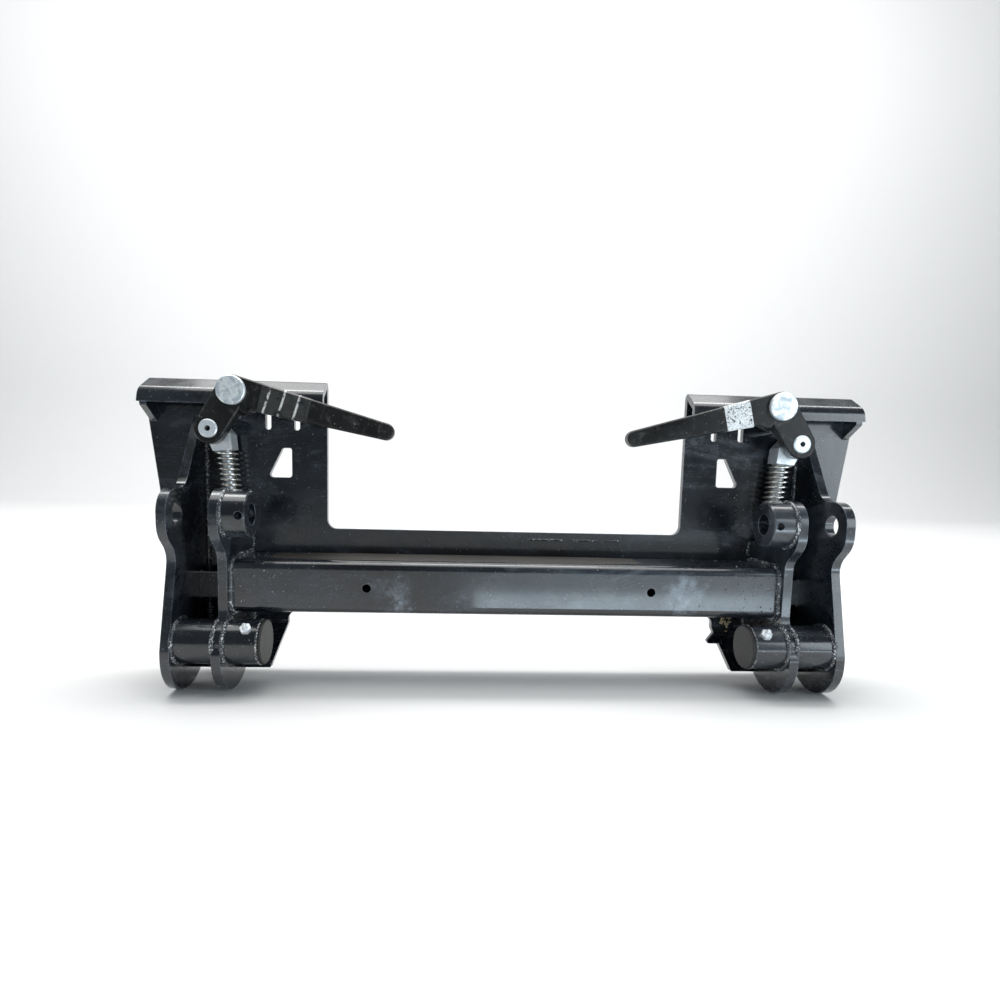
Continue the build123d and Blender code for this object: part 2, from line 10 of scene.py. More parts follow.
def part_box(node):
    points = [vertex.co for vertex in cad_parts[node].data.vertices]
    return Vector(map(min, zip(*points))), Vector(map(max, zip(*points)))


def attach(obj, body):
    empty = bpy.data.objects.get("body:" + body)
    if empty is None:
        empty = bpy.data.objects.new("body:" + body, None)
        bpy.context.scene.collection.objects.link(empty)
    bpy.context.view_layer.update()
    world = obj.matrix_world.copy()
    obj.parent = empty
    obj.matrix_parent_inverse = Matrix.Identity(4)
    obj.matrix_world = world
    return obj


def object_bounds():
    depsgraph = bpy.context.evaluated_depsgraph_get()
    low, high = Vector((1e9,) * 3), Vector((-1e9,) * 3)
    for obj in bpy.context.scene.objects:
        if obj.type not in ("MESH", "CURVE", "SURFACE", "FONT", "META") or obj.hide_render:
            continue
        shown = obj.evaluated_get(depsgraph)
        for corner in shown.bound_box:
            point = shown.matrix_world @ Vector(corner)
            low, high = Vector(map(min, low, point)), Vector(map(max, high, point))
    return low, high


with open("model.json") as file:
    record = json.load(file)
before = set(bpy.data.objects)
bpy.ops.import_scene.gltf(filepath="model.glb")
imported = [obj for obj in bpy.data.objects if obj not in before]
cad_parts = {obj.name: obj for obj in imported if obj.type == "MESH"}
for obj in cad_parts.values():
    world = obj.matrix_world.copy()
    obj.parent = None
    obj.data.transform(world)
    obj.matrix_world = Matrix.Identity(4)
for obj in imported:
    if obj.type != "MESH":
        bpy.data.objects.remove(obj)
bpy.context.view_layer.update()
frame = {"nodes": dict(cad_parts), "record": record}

SIDES = (("left", -1), ("right", 1))
NODES = frame["nodes"]

# ---------------------------------------------------------------------------------------------
# Camera, floor and light
# ---------------------------------------------------------------------------------------------
CAMERA_PLACE = Vector((-0.0840, -0.9726, 0.1635))
CAMERA_YAW, CAMERA_PITCH, CAMERA_ROLL = 0.0489, 0.1027, 0.024
CAMERA_LENS, CAMERA_SHIFT = 21.82, (0.0171, 0.0389)


def add_camera():
    """Camera from yaw (towards +X), downward pitch and roll, all in radians."""
    yaw, pitch, roll = CAMERA_YAW, CAMERA_PITCH, CAMERA_ROLL
    right = Vector((math.cos(yaw), -math.sin(yaw), 0))
    ahead = Vector((math.sin(yaw) * math.cos(pitch), math.cos(yaw) * math.cos(pitch), -math.sin(pitch)))
    up = right.cross(ahead)
    turned_right = right * math.cos(roll) + up * math.sin(roll)
    turned_up = up * math.cos(roll) - right * math.sin(roll)
    turn = Matrix((turned_right, turned_up, -ahead)).transposed().to_4x4()
    data = bpy.data.cameras.new("camera")
    data.lens, data.sensor_width = CAMERA_LENS, 36
    data.shift_x, data.shift_y = CAMERA_SHIFT
    data.clip_start, data.clip_end = 0.02, 60
    camera = bpy.data.objects.new("camera", data)
    camera.matrix_world = Matrix.Translation(CAMERA_PLACE) @ turn
    bpy.context.scene.collection.objects.link(camera)
    bpy.context.scene.camera = camera


def area_light(name, place, target, size, radiance, colour=(1, 1, 1)):
    """Rectangular soft light; the power follows from its size and how bright it looks."""
    data = bpy.data.lights.new(name, "AREA")
    data.shape, data.size, data.size_y = "RECTANGLE", size[0], size[1]
    data.energy, data.color = radiance * math.pi * size[0] * size[1], colour
    light = bpy.data.objects.new(name, data)
    light.location = place
    light.rotation_euler = (Vector(target) - Vector(place)).to_track_quat("-Z", "Y").to_euler()
    light.visible_camera = False
    bpy.context.scene.collection.objects.link(light)


def add_lights():
    """Studio of large soft boxes: overhead, one on each side, one low in front, one for the wall."""
    area_light("overhead", (0, 0.2, 3.2), (0, 0.2, 0), (3.6, 3.0), 3.0, (1, 0.995, 0.985))
    area_light("right_box", (2.2, -2.0, 0.75), (0.3, 0, 0.1), (1.2, 1.5), 4.2, (0.84, 0.94, 1))
    area_light("left_box", (-2.4, -1.6, 0.9), (-0.3, 0, 0.1), (0.9, 1.5), 1.3, (0.88, 0.96, 1))
    area_light("floor_bounce", (0.52, -0.66, -0.135), (0.52, -0.66, 1), (1.1, 0.26), 6.5, (0.70, 0.87, 1))
    area_light("backdrop", (0, 1.2, 5.5), (0, 6.4, 1.4), (11.0, 2.4), 6.5)
    world = bpy.data.worlds.new("studio")
    world.use_nodes = True
    shader = world.node_tree.nodes["Background"]
    shader.inputs["Color"].default_value = (0.80, 0.91, 1.0, 1)
    shader.inputs["Strength"].default_value = 0.18
    bpy.context.scene.world = world
    bpy.context.scene.view_settings.view_transform = "Standard"


def add_floor():
    """Pale floor that sweeps up into a wall behind the object."""
    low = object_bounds()[0][2]
    half_width, back, radius, height, steps = 14, 4.5, 1.2, 9, 12
    outline = [(-half_width, low), (back, low)]
    for i in range(1, steps + 1):
        a = math.radians(90 * i / steps)
        outline.append((back + radius * math.sin(a), low + radius * (1 - math.cos(a))))
    outline.append((back + radius, low + height))
    mesh = bpy.data.meshes.new("floor")
    verts = [(x, y, z) for y, z in outline for x in (-half_width, half_width)]
    faces = [(2 * i, 2 * i + 1, 2 * i + 3, 2 * i + 2) for i in range(len(outline) - 1)]
    mesh.from_pydata(verts, [], faces)
    mesh.shade_smooth()
    floor = bpy.data.objects.new("floor", mesh)
    bpy.context.scene.collection.objects.link(floor)
    s = Shader("floor")
    s.set(Roughness=0.75, Base_Color=rgb(0.80, 0.80, 0.796))
    floor.data.materials.append(s.material)


# ---------------------------------------------------------------------------------------------
# Materials
# ---------------------------------------------------------------------------------------------
class Shader:
    """A Principled material and short ways to add the nodes that feed it."""

    def __init__(self, name):
        self.material = bpy.data.materials.new(name)
        self.material.use_nodes = True
        self.tree = self.material.node_tree
        self.main = self.tree.nodes["Principled BSDF"]
        self.place = None

    def set(self, **values):
        for key, value in values.items():
            self.main.inputs[key.replace("_", " ")].default_value = value

    def node(self, kind, settings=None, **inputs):
        made = self.tree.nodes.new("ShaderNode" + kind)
        for key, value in (settings or {}).items():
            setattr(made, key, value)
        for key, value in inputs.items():
            self.feed(made.inputs[key.replace("_", " ")], value)
        return made

    def feed(self, socket, value):
        if isinstance(value, bpy.types.NodeSocket):
            self.tree.links.new(value, socket)
        else:
            socket.default_value = value

    def object_place(self):
        if self.place is None:
            self.place = self.node("TexCoord").outputs["Object"]
        return self.place

    def noise(self, scale, detail=4.0, rough=0.55, stretch=None, distortion=0.0):
        """Grey noise over the object's own coordinates, in metres."""
        place = self.object_place()
        if stretch:
            place = self.node("Mapping", Vector=place, Scale=stretch).outputs[0]
        made = self.node("TexNoise", Vector=place, Scale=scale, Detail=detail, Roughness=rough,
                         Distortion=distortion)
        return made.outputs["Fac"]

    def spots(self, scale, size):
        """White dots of a given share of the cell size, one in a few cells."""
        cells = self.node("TexVoronoi", Vector=self.object_place(), Scale=scale, Randomness=1.0)
        return self.ramp(cells.outputs["Distance"], size, size * 0.55)

    def ramp(self, value, low, high, out_low=0.0, out_high=1.0):
        """The value's range from low to high, stretched to the range from out_low to out_high."""
        made = self.node("MapRange", {"clamp": True}, Value=value, From_Min=low, From_Max=high,
                         To_Min=out_low, To_Max=out_high)
        return made.outputs["Result"]

    def math(self, operation, a, b=0.0):
        made = self.node("Math", {"operation": operation, "use_clamp": True})
        self.feed(made.inputs[0], a)
        self.feed(made.inputs[1], b)
        return made.outputs[0]

    def distance(self, a, b):
        made = self.node("VectorMath", {"operation": "DISTANCE"})
        self.feed(made.inputs[0], a)
        self.feed(made.inputs[1], b)
        return made.outputs["Value"]

    def mix(self, share, a, b):
        made = self.node("Mix", {"data_type": "RGBA"})
        self.feed(made.inputs["Factor"], share)
        self.feed(made.inputs["A"], a)
        self.feed(made.inputs["B"], b)
        return made.outputs["Result"]

    def edges(self, radius, low, high):
        """1 on convex and concave edges within the radius, 0 on open faces."""
        soft = self.node("Bevel", {"samples": 8}, Radius=radius).outputs["Normal"]
        flat = self.node("NewGeometry").outputs["Normal"]
        dot = self.node("VectorMath", {"operation": "DOT_PRODUCT"})
        self.feed(dot.inputs[0], soft)
        self.feed(dot.inputs[1], flat)
        return self.ramp(dot.outputs["Value"], high, low)

    def bump(self, *layers, rounding=0.0):
        """Layers of (height, strength, distance); rounding softens hard edges first."""
        normal = None
        if rounding:
            normal = self.node("Bevel", {"samples": 6}, Radius=rounding).outputs["Normal"]
        for height, strength, distance in layers:
            made = self.node("Bump", Height=height, Strength=strength, Distance=distance)
            if normal is not None:
                self.feed(made.inputs["Normal"], normal)
            normal = made.outputs["Normal"]
        self.feed(self.main.inputs["Normal"], normal)


def rgb(r, g, b):
    return (r, g, b, 1.0)


def frame_paint(name="frame_paint", marks=()):
    """Gloss charcoal enamel over weldments: hazy film, smears, dust, specks and worn rims; the film and
    smudges are pale bluish patches, partly painted sheen standing in for reflected light.
    Marks are cloudy smudges, each given as its place and radius; their pale bluish colour is partly
    painted sheen standing in for reflected light."""
    s = Shader(name)
    cloud = s.noise(7.0, 5, 0.6, distortion=0.4)
    smear = s.noise(9.0, 7, 0.72, stretch=(0.45, 1, 1.3), distortion=1.6)
    streak = s.noise(26.0, 4, 0.6, stretch=(0.12, 1, 1.0))
    grain = s.noise(70.0, 6, 0.7)
    dust = s.noise(420.0, 2, 0.6)
    specks = s.math("MULTIPLY", s.spots(150.0, 0.12), s.ramp(grain, 0.46, 0.58))
    haze_and_sheen = s.math("MULTIPLY", s.ramp(smear, 0.50, 0.66), s.ramp(grain, 0.30, 0.58, 0.25, 1.0))
    smudge_and_sheen = s.math("MULTIPLY", s.ramp(smear, 0.62, 0.70), s.ramp(grain, 0.42, 0.62))
    wear = s.math("MULTIPLY", s.edges(0.0020, 0.93, 0.995), s.ramp(grain, 0.38, 0.62))
    colour = s.mix(s.ramp(cloud, 0.35, 0.65), rgb(0.0030, 0.0038, 0.0058), rgb(0.011, 0.015, 0.021))
    colour = s.mix(s.math("MULTIPLY", s.ramp(streak, 0.54, 0.68), 0.22), colour, rgb(0.055, 0.066, 0.084))
    # partly painted sheen: pale bluish patches of the hazy film and smudges stand in for reflected light
    colour = s.mix(s.math("MULTIPLY", haze_and_sheen, 0.38), colour, rgb(0.085, 0.104, 0.130))
    colour = s.mix(s.math("MULTIPLY", smudge_and_sheen, 0.45), colour, rgb(0.26, 0.30, 0.35))
    for place, radius in marks:
        rag = 0.08
        reach = s.distance(s.object_place(), place)
        ragged = s.math("ADD", reach, s.math("MULTIPLY", s.noise(24.0, 5, 0.7), rag))
        spot = s.ramp(ragged, radius + rag / 2, radius * 0.2 + rag / 2)
        spot = s.math("MULTIPLY", spot, s.ramp(grain, 0.38, 0.66))
        # partly painted sheen: the smudge is a pale bluish patch that also stands in for reflected light
        colour = s.mix(s.math("MULTIPLY", spot, 0.55), colour, rgb(0.34, 0.41, 0.48))
    colour = s.mix(s.math("MULTIPLY", s.ramp(dust, 0.64, 0.78), 0.30), colour, rgb(0.16, 0.18, 0.20))
    colour = s.mix(s.math("MULTIPLY", specks, 0.8), colour, rgb(0.42, 0.45, 0.47))
    colour = s.mix(s.math("MULTIPLY", wear, 0.75), colour, rgb(0.16, 0.20, 0.25))
    s.feed(s.main.inputs["Base Color"], colour)
    gloss = s.ramp(s.math("ADD", cloud, s.math("MULTIPLY", grain, 0.3)), 0.45, 0.80, 0.14, 0.32)
    s.feed(s.main.inputs["Roughness"], s.math("ADD", gloss, s.math("MULTIPLY", haze_and_sheen, 0.25)))
    s.bump((cloud, 0.12, 0.005), (grain, 0.12, 0.0008), (dust, 0.04, 0.0003), (specks, 0.25, 0.0006),
           rounding=0.0012)
    s.set(Coat_Weight=0.7, Coat_Roughness=0.10, Coat_IOR=1.5)
    return s.material


def cap_paint():
    """Satin grey-brown paint of the pivot tubes' inner caps."""
    s = Shader("cap_paint")
    cloud = s.noise(25.0, 5, 0.6)
    grain = s.noise(260.0, 3, 0.6)
    colour = s.mix(s.ramp(cloud, 0.3, 0.7), rgb(0.007, 0.0075, 0.0065), rgb(0.016, 0.0165, 0.0145))
    colour = s.mix(s.math("MULTIPLY", s.edges(0.0015, 0.93, 0.99), 0.6), colour, rgb(0.16, 0.16, 0.16))
    s.feed(s.main.inputs["Base Color"], colour)
    s.feed(s.main.inputs["Roughness"], s.ramp(grain, 0.3, 0.7, 0.42, 0.58))
    s.bump((grain, 0.12, 0.0004), rounding=0.001)
    s.set(Specular_IOR_Level=0.32)
    return s.material


def lever_paint():
    """Black paint over a slightly rough forging, rubbed grey where hands go."""
    s = Shader("lever_paint")
    cloud = s.noise(18.0, 5, 0.65)
    grain = s.noise(190.0, 6, 0.7)
    scuff = s.ramp(s.noise(34.0, 7, 0.8, distortion=1.5), 0.53, 0.64)
    nicks = s.math("MULTIPLY", s.spots(170.0, 0.14), s.ramp(cloud, 0.45, 0.6))
    colour = s.mix(s.ramp(cloud, 0.3, 0.7), rgb(0.0030, 0.0031, 0.0032), rgb(0.008, 0.008, 0.0082))
    colour = s.mix(s.math("MULTIPLY", scuff, 0.32), colour, rgb(0.12, 0.12, 0.115))
    colour = s.mix(s.math("MULTIPLY", nicks, 0.85), colour, rgb(0.50, 0.48, 0.44))
    wear = s.math("MULTIPLY", s.edges(0.0018, 0.93, 0.99), s.ramp(grain, 0.42, 0.62))
    colour = s.mix(s.math("MULTIPLY", wear, 0.55), colour, rgb(0.16, 0.165, 0.17))
    s.feed(s.main.inputs["Base Color"], colour)
    s.feed(s.main.inputs["Roughness"], s.ramp(cloud, 0.3, 0.7, 0.24, 0.46))
    s.bump((grain, 0.32, 0.0007), (cloud, 0.15, 0.0015), rounding=0.0015)
    s.set(Specular_IOR_Level=0.38)
    return s.material


def metal(name, dark, light, rough, mottle_scale, contrast=(0.35, 0.65), metallic=1.0, bore=None):
    """Bare or plated metal with mottled colour and roughness. The given X, Z and radius mark a hole
    along Y whose inside is painted dark as shade, with its mirror image on the other side."""
    s = Shader(name)
    cloud = s.noise(mottle_scale, 5, 0.6, distortion=0.6)
    grain = s.noise(mottle_scale * 9, 4, 0.6)
    grime = s.ramp(s.noise(mottle_scale * 1.7, 6, 0.7, distortion=1.0), 0.58, 0.68)
    colour = s.mix(s.ramp(cloud, *contrast), dark, light)
    colour = s.mix(s.math("MULTIPLY", grime, 0.35), colour, rgb(0.16, 0.16, 0.15))
    if bore:
        x, z, radius = bore
        place = s.node("SeparateXYZ", Vector=s.object_place())
        across = s.node("Math", {"operation": "ABSOLUTE"})
        s.feed(across.inputs[0], place.outputs["X"])
        flat = s.node("CombineXYZ", X=across.outputs[0], Z=place.outputs["Z"])
        reach = s.distance(flat.outputs[0], (x, 0, z))
        # painted shade: the inside of the centre hole is coloured near black
        hole = s.ramp(reach, radius * 1.05, radius * 0.95)
        colour = s.mix(hole, colour, rgb(0.010, 0.010, 0.010))
    s.feed(s.main.inputs["Base Color"], colour)
    s.feed(s.main.inputs["Roughness"], s.ramp(cloud, 0.3, 0.7, rough[1], rough[0]))
    s.bump((grain, 0.14, 0.0003), rounding=0.0006)
    s.set(Metallic=metallic)
    return s.material


def rubber():
    """Dull black rubber of the pivot seals."""
    s = Shader("seal_rubber")
    grain = s.noise(300.0, 3, 0.6)
    s.feed(s.main.inputs["Base Color"], s.mix(grain, rgb(0.010, 0.010, 0.010), rgb(0.022, 0.021, 0.020)))
    s.feed(s.main.inputs["Roughness"], s.ramp(grain, 0.3, 0.7, 0.55, 0.7))
    s.bump((grain, 0.2, 0.0003))
    return s.material


def weld_paint():
    """The frame's enamel over weld beads, glossy and rough, with painted glints: pale dots in its colour
    that stand in for specular highlights.
    """
    s = Shader("weld_paint")
    grain = s.noise(260.0, 5, 0.7)
    patch = s.noise(75.0, 4, 0.6)
    # painted highlight: pale dots in the base colour stand in for glints on the rough beads
    painted_glint = s.math("MULTIPLY", s.ramp(s.noise(420.0, 3, 0.6), 0.54, 0.62), s.ramp(patch, 0.42, 0.55))
    colour = s.mix(s.ramp(grain, 0.35, 0.7), rgb(0.008, 0.010, 0.013), rgb(0.070, 0.082, 0.096))
    colour = s.mix(s.math("MULTIPLY", painted_glint, 0.95), colour, rgb(0.78, 0.80, 0.81))
    s.feed(s.main.inputs["Base Color"], colour)
    s.feed(s.main.inputs["Roughness"], s.ramp(patch, 0.3, 0.7, 0.14, 0.32))
    s.bump((grain, 0.6, 0.0008))
    s.set(Coat_Weight=0.6, Coat_Roughness=0.08)
    return s.material


def silver_label():
    """Plain foil label, crazed and flaking, with no marks of any kind."""
    s = Shader("silver_label")
    flake = s.ramp(s.noise(150.0, 6, 0.75, distortion=2.0), 0.550, 0.566)
    crease = s.noise(60.0, 4, 0.6)
    colour = s.mix(s.ramp(crease, 0.3, 0.7), rgb(0.62, 0.64, 0.65), rgb(0.86, 0.87, 0.87))
    colour = s.mix(flake, colour, rgb(0.03, 0.03, 0.032))
    s.feed(s.main.inputs["Base Color"], colour)
    s.feed(s.main.inputs["Roughness"], s.ramp(crease, 0.3, 0.7, 0.30, 0.5))
    s.bump((crease, 0.4, 0.0008), (flake, 0.4, 0.0003))
    return s.material


def black_tape():
    """Black vinyl tape with painted highlight stripes across it, light bands that stand in for specular
    streaks.
    """
    s = Shader("black_tape")
    crease = s.noise(90.0, 4, 0.6, distortion=1.0)
    place = s.node("Mapping", Vector=s.object_place(), Rotation=(0, math.radians(-18), 0)).outputs[0]
    wave = s.node("TexWave", {"wave_type": "BANDS", "bands_direction": "X"}, Vector=place, Scale=14.5,
                  Distortion=0.8, Detail=1.0).outputs["Fac"]
    # painted highlight: light bands stand in for specular streaks on the creased tape
    painted_highlight_stripe = s.math("MULTIPLY", s.ramp(wave, 0.93, 0.97), s.ramp(crease, 0.40, 0.52))
    colour = s.mix(s.ramp(crease, 0.3, 0.7), rgb(0.020, 0.021, 0.022), rgb(0.050, 0.050, 0.048))
    colour = s.mix(painted_highlight_stripe, colour, rgb(0.62, 0.62, 0.60))
    s.feed(s.main.inputs["Base Color"], colour)
    s.feed(s.main.inputs["Roughness"], s.ramp(crease, 0.3, 0.7, 0.25, 0.45))
    s.bump((crease, 0.35, 0.0006))
    return s.material


def bright_zinc(name, bore=None):
    """Bright zinc plating, with painted shade inside the centre hole where the part has one."""
    return metal(name, rgb(0.66, 0.73, 0.78), rgb(0.95, 0.97, 0.98), (0.26, 0.42), 80.0,
                 metallic=0.6, bore=bore)


CENTRE_HOLE_R = 0.004  # in the crank pins' heads
SMUDGE_SHEEN_SPOTS = ((-0.165, -0.010, 0.030), (0.256, 0.002, 0.036))  # X, Z and radius of each smudge on the cross tube, painted pale and bluish as partly a reflection


def paint_nodes():
    """Gives every CAD node the material of its slot, then the crank pins and the cross tube
    their own."""
    made = {
        "frame_paint": frame_paint(),
        "cap_paint": cap_paint(),
        "lever_paint": lever_paint(),
        "mottled_zinc": metal("mottled_zinc", rgb(0.50, 0.57, 0.62), rgb(0.90, 0.95, 0.97),
                              (0.32, 0.5), 95.0, (0.40, 0.56), metallic=0.55),
        "bright_zinc": bright_zinc("bright_zinc"),
        "spring_wire": metal("spring_wire", rgb(0.45, 0.44, 0.41), rgb(0.88, 0.87, 0.83),
                             (0.16, 0.30), 60.0),
        "bare_steel": metal("bare_steel", rgb(0.16, 0.16, 0.16), rgb(0.36, 0.36, 0.36),
                            (0.30, 0.48), 50.0),
        "seal_rubber": rubber(),
    }
    for entry in frame["record"]["subparts"]:
        obj = NODES[entry["node"]]
        obj.data.materials.clear()
        obj.data.materials.append(made[entry["material_slot"]])
    tube_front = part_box("cross_tube")[0].y
    marks = [(Vector((x, tube_front, z)), radius) for x, z, radius in SMUDGE_SHEEN_SPOTS]
    NODES["cross_tube"].data.materials[0] = frame_paint("tube_paint", marks)
    low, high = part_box("right_crank_pin")
    bore = ((low.x + high.x) / 2, (low.z + high.z) / 2, CENTRE_HOLE_R)
    drilled = bright_zinc("drilled_zinc", bore)
    for name, _ in SIDES:
        NODES[name + "_crank_pin"].data.materials[0] = drilled


# ---------------------------------------------------------------------------------------------
# Weld beads and spatter
# ---------------------------------------------------------------------------------------------
FOOT_BEND_Z = -0.076                      # where the feet leave the vertical
FOOT_LEAN = math.tan(math.radians(40.6))  # their way towards the loader for each metre down
INNER_SEAM_TOP, OUTER_SEAM_TOP = 0.068, 0.236
TUBE_GAP = 0.041                          # half the gap that the cross tube leaves in a seam

# Radius of each bead
BOSS_BEAD, PIVOT_BEAD, CAP_BEAD = 0.0033, 0.0036, 0.0016
EAR_BEAD, TUBE_BEAD, GUIDE_BEAD, STITCH_BEAD = 0.0040, 0.0052, 0.0025, 0.0017


def new_piece(name, bm, material, body, smooth=True):
    """Makes the mesh a visual piece that rides on a body, with the given material in its one slot."""
    mesh = bpy.data.meshes.new(name)
    bm.to_mesh(mesh)
    bm.free()
    if smooth:
        mesh.shade_smooth()
    mesh.materials.append(material)
    piece = bpy.data.objects.new(name, mesh)
    bpy.context.scene.collection.objects.link(piece)
    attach(piece, body)
    return piece


def spaced(points, step):
    """Evenly spaced points along a run of straight segments, with their directions."""
    lengths = [(b - a).length for a, b in zip(points, points[1:])]
    total, out, walked, i = sum(lengths), [], 0.0, 0
    count = max(2, round(total / step))
    for k in range(count + 1):
        want = total * k / count
        while i < len(lengths) - 1 and walked + lengths[i] < want:
            walked += lengths[i]
            i += 1
        share = (want - walked) / lengths[i]
        out.append((points[i].lerp(points[i + 1], share), (points[i + 1] - points[i]).normalized()))
    return out


def bead(bm, points, away, radius, rng, closed=False):
    """A rippled weld bead along points; away(p) is the unit direction out of the corner."""
    ring, step, ripple = 9, 0.0011, 0.0034
    stations = spaced(points, step)
    if closed:
        stations = stations[:-1]
    phase = rng.random() * 6.28
    rows, swell, shift = [], 1.0, 0.0
    for k, (p, direction) in enumerate(stations):
        swell += (rng.random() - 0.5) * 0.05 - (swell - 1) * 0.06
        shift += (rng.random() - 0.5) * 0.05 - shift * 0.08
        out = away(p)
        side = direction.cross(out).normalized()
        wave = abs(math.sin(phase + math.pi * k * step / ripple))
        r = radius * swell * (0.84 + 0.22 * wave)
        if not closed:
            ends = min(k, len(stations) - 1 - k)
            r *= min(1.0, 0.45 + 0.12 * ends)
        centre = p + out * radius * 0.10 + side * radius * shift
        rows.append([bm.verts.new(centre + (side * math.cos(a) + out * math.sin(a)) * r)
                     for a in (2 * math.pi * j / ring for j in range(ring))])
    pairs = list(zip(rows, rows[1:])) + ([(rows[-1], rows[0])] if closed else [])
    for one, two in pairs:
        for j in range(ring):
            n = (j + 1) % ring
            bm.faces.new((one[j], one[n], two[n], two[j]))
    if not closed:
        bm.faces.new(rows[0][::-1])
        bm.faces.new(rows[-1])


def circle_seam(bm, x, circle, facing, size, rng):
    """Bead round a circle, given as Y, Z and radius, on a wall at x; facing is the open side."""
    y, z, radius = circle
    count = 48
    points = [Vector((x, y + radius * math.cos(a), z + radius * math.sin(a)))
              for a in (math.radians(360 * k / count) for k in range(count + 1))]

    def away(p):
        return (Vector((0, p.y - y, p.z - z)).normalized() + Vector((facing, 0, 0))).normalized()

    bead(bm, points, away, size, rng, closed=True)


def line_seam(bm, a, b, away, size, rng):
    """Straight bead from a to b; away points out of the corner."""
    bead(bm, [Vector(a), Vector(b)], lambda p: Vector(away).normalized(), size, rng)


def faces_x(node):
    """X of a node's two side faces, the one nearer the middle first."""
    low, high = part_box(node)
    return sorted((low.x, high.x), key=abs)


def circle_of(node):
    """Y, Z and radius of a round node that lies along X."""
    low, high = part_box(node)
    return (low.y + high.y) / 2, (low.z + high.z) / 2, (high.z - low.z) / 2


def add_welds(material):
    """Beads between the ears, the plate, the cross tube and what the ears hold."""
    rng = random.Random(7)
    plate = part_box("cross_tube")[1].y
    seam_low = FOOT_BEND_Z + 0.002
    for name, g in SIDES:
        bm = bmesh.new()
        inner_near, inner_far = faces_x(name + "_inner_ear")
        outer_near, outer_far = faces_x(name + "_outer_ear")
        circle_seam(bm, inner_near, circle_of(name + "_tilt_boss"), -g, BOSS_BEAD, rng)
        y, z, radius = circle_of(name + "_arm_pivot_tube")
        for wall, facing in ((inner_near, -g), (inner_far, g), (outer_near, -g)):
            circle_seam(bm, wall, (y, z, radius), facing, PIVOT_BEAD, rng)
        rim = (y, z, radius - CAP_BEAD / 2)
        circle_seam(bm, faces_x(name + "_arm_pivot_cap")[1], rim, 0, CAP_BEAD, rng)
        for wall, facing, low, high in (
                (inner_near, -g, TUBE_GAP, INNER_SEAM_TOP), (inner_near, -g, seam_low, -TUBE_GAP),
                (inner_far, g, seam_low, INNER_SEAM_TOP),
                (outer_near, -g, seam_low, OUTER_SEAM_TOP), (outer_far, g, seam_low, OUTER_SEAM_TOP)):
            line_seam(bm, (wall, plate, low), (wall, plate, high), (facing, -1, 0), EAR_BEAD, rng)
        add_tube_end_weld(bm, inner_near, g, rng)
        low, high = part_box(name + "_wedge_guide")
        start, end = low.y + 0.001, high.y - 0.001
        for x, facing in ((low.x, 1), (high.x, -1)):
            for z, up in ((low.z, -1), (high.z, 1)):
                line_seam(bm, (x, start, z), (x, end, z), (facing, 0, up), GUIDE_BEAD, rng)
        new_piece(name + "_welds", bm, material, "frame")


def add_tube_end_weld(bm, wall, g, rng):
    """Bead round the cross tube's end, on its top, loader and lower sides."""
    low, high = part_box("cross_tube")
    corner, steps, stop = 0.012, 8, high.y - 0.003
    front, bottom, top = low.y + corner, low.z + corner, high.z - corner
    points = [Vector((wall, stop, low.z))]
    for z, start in ((bottom, 270), (top, 180)):
        for k in range(steps + 1):
            a = math.radians(start - 90 * k / steps)
            points.append(Vector((wall, front + corner * math.cos(a), z + corner * math.sin(a))))
    points.append(Vector((wall, stop, high.z)))

    def away(p):
        out = Vector((0, min(0, p.y - front), max(0, p.z - top) + min(0, p.z - bottom)))
        return (out.normalized() + Vector((-g, 0, 0))).normalized()

    bead(bm, points, away, TUBE_BEAD, rng)


def add_spatter(material):
    """Tiny beads of weld spatter, half sunk in the painted faces near the seams."""
    rng = random.Random(21)
    low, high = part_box("cross_tube")
    port_near, port_far, port_low = 0.334, 0.377, 0.151
    for name, g in SIDES:
        bm = bmesh.new()

        def drop(x, y, z):
            size = 0.0005 + 0.0011 * rng.random() ** 3
            made = bmesh.ops.create_icosphere(bm, subdivisions=1, radius=size)
            stretch = Matrix.Diagonal((1, 1, 0.7 + 0.6 * rng.random(), 1))
            place = Matrix.Translation((g * x, y, z))
            bmesh.ops.transform(bm, matrix=place @ stretch, verts=made["verts"])

        for _ in range(70):                            # on the plate, inside the inner ear
            x, z = 0.392 - abs(rng.gauss(0, 0.03)), rng.uniform(0.045, 0.18)
            over_port = port_near < x < port_far and z > port_low
            if x > 0.30 and not over_port:
                drop(x, high.y, z)
        for _ in range(60):                            # on the cross tube's loader side
            drop(0.395 - abs(rng.gauss(0, 0.045)), low.y, rng.uniform(low.z + 0.012, high.z - 0.012))
        for _ in range(40):                            # on its top
            drop(0.395 - abs(rng.gauss(0, 0.05)), rng.uniform(low.y + 0.015, high.y - 0.01), high.z)
        for _ in range(45):                            # on the plate, outside the outer ear
            x = 0.486 + min(0.024, abs(rng.gauss(0, 0.012)))
            drop(x, high.y, rng.uniform(-0.05, 0.22))
        new_piece(name + "_spatter", bm, material, "frame")


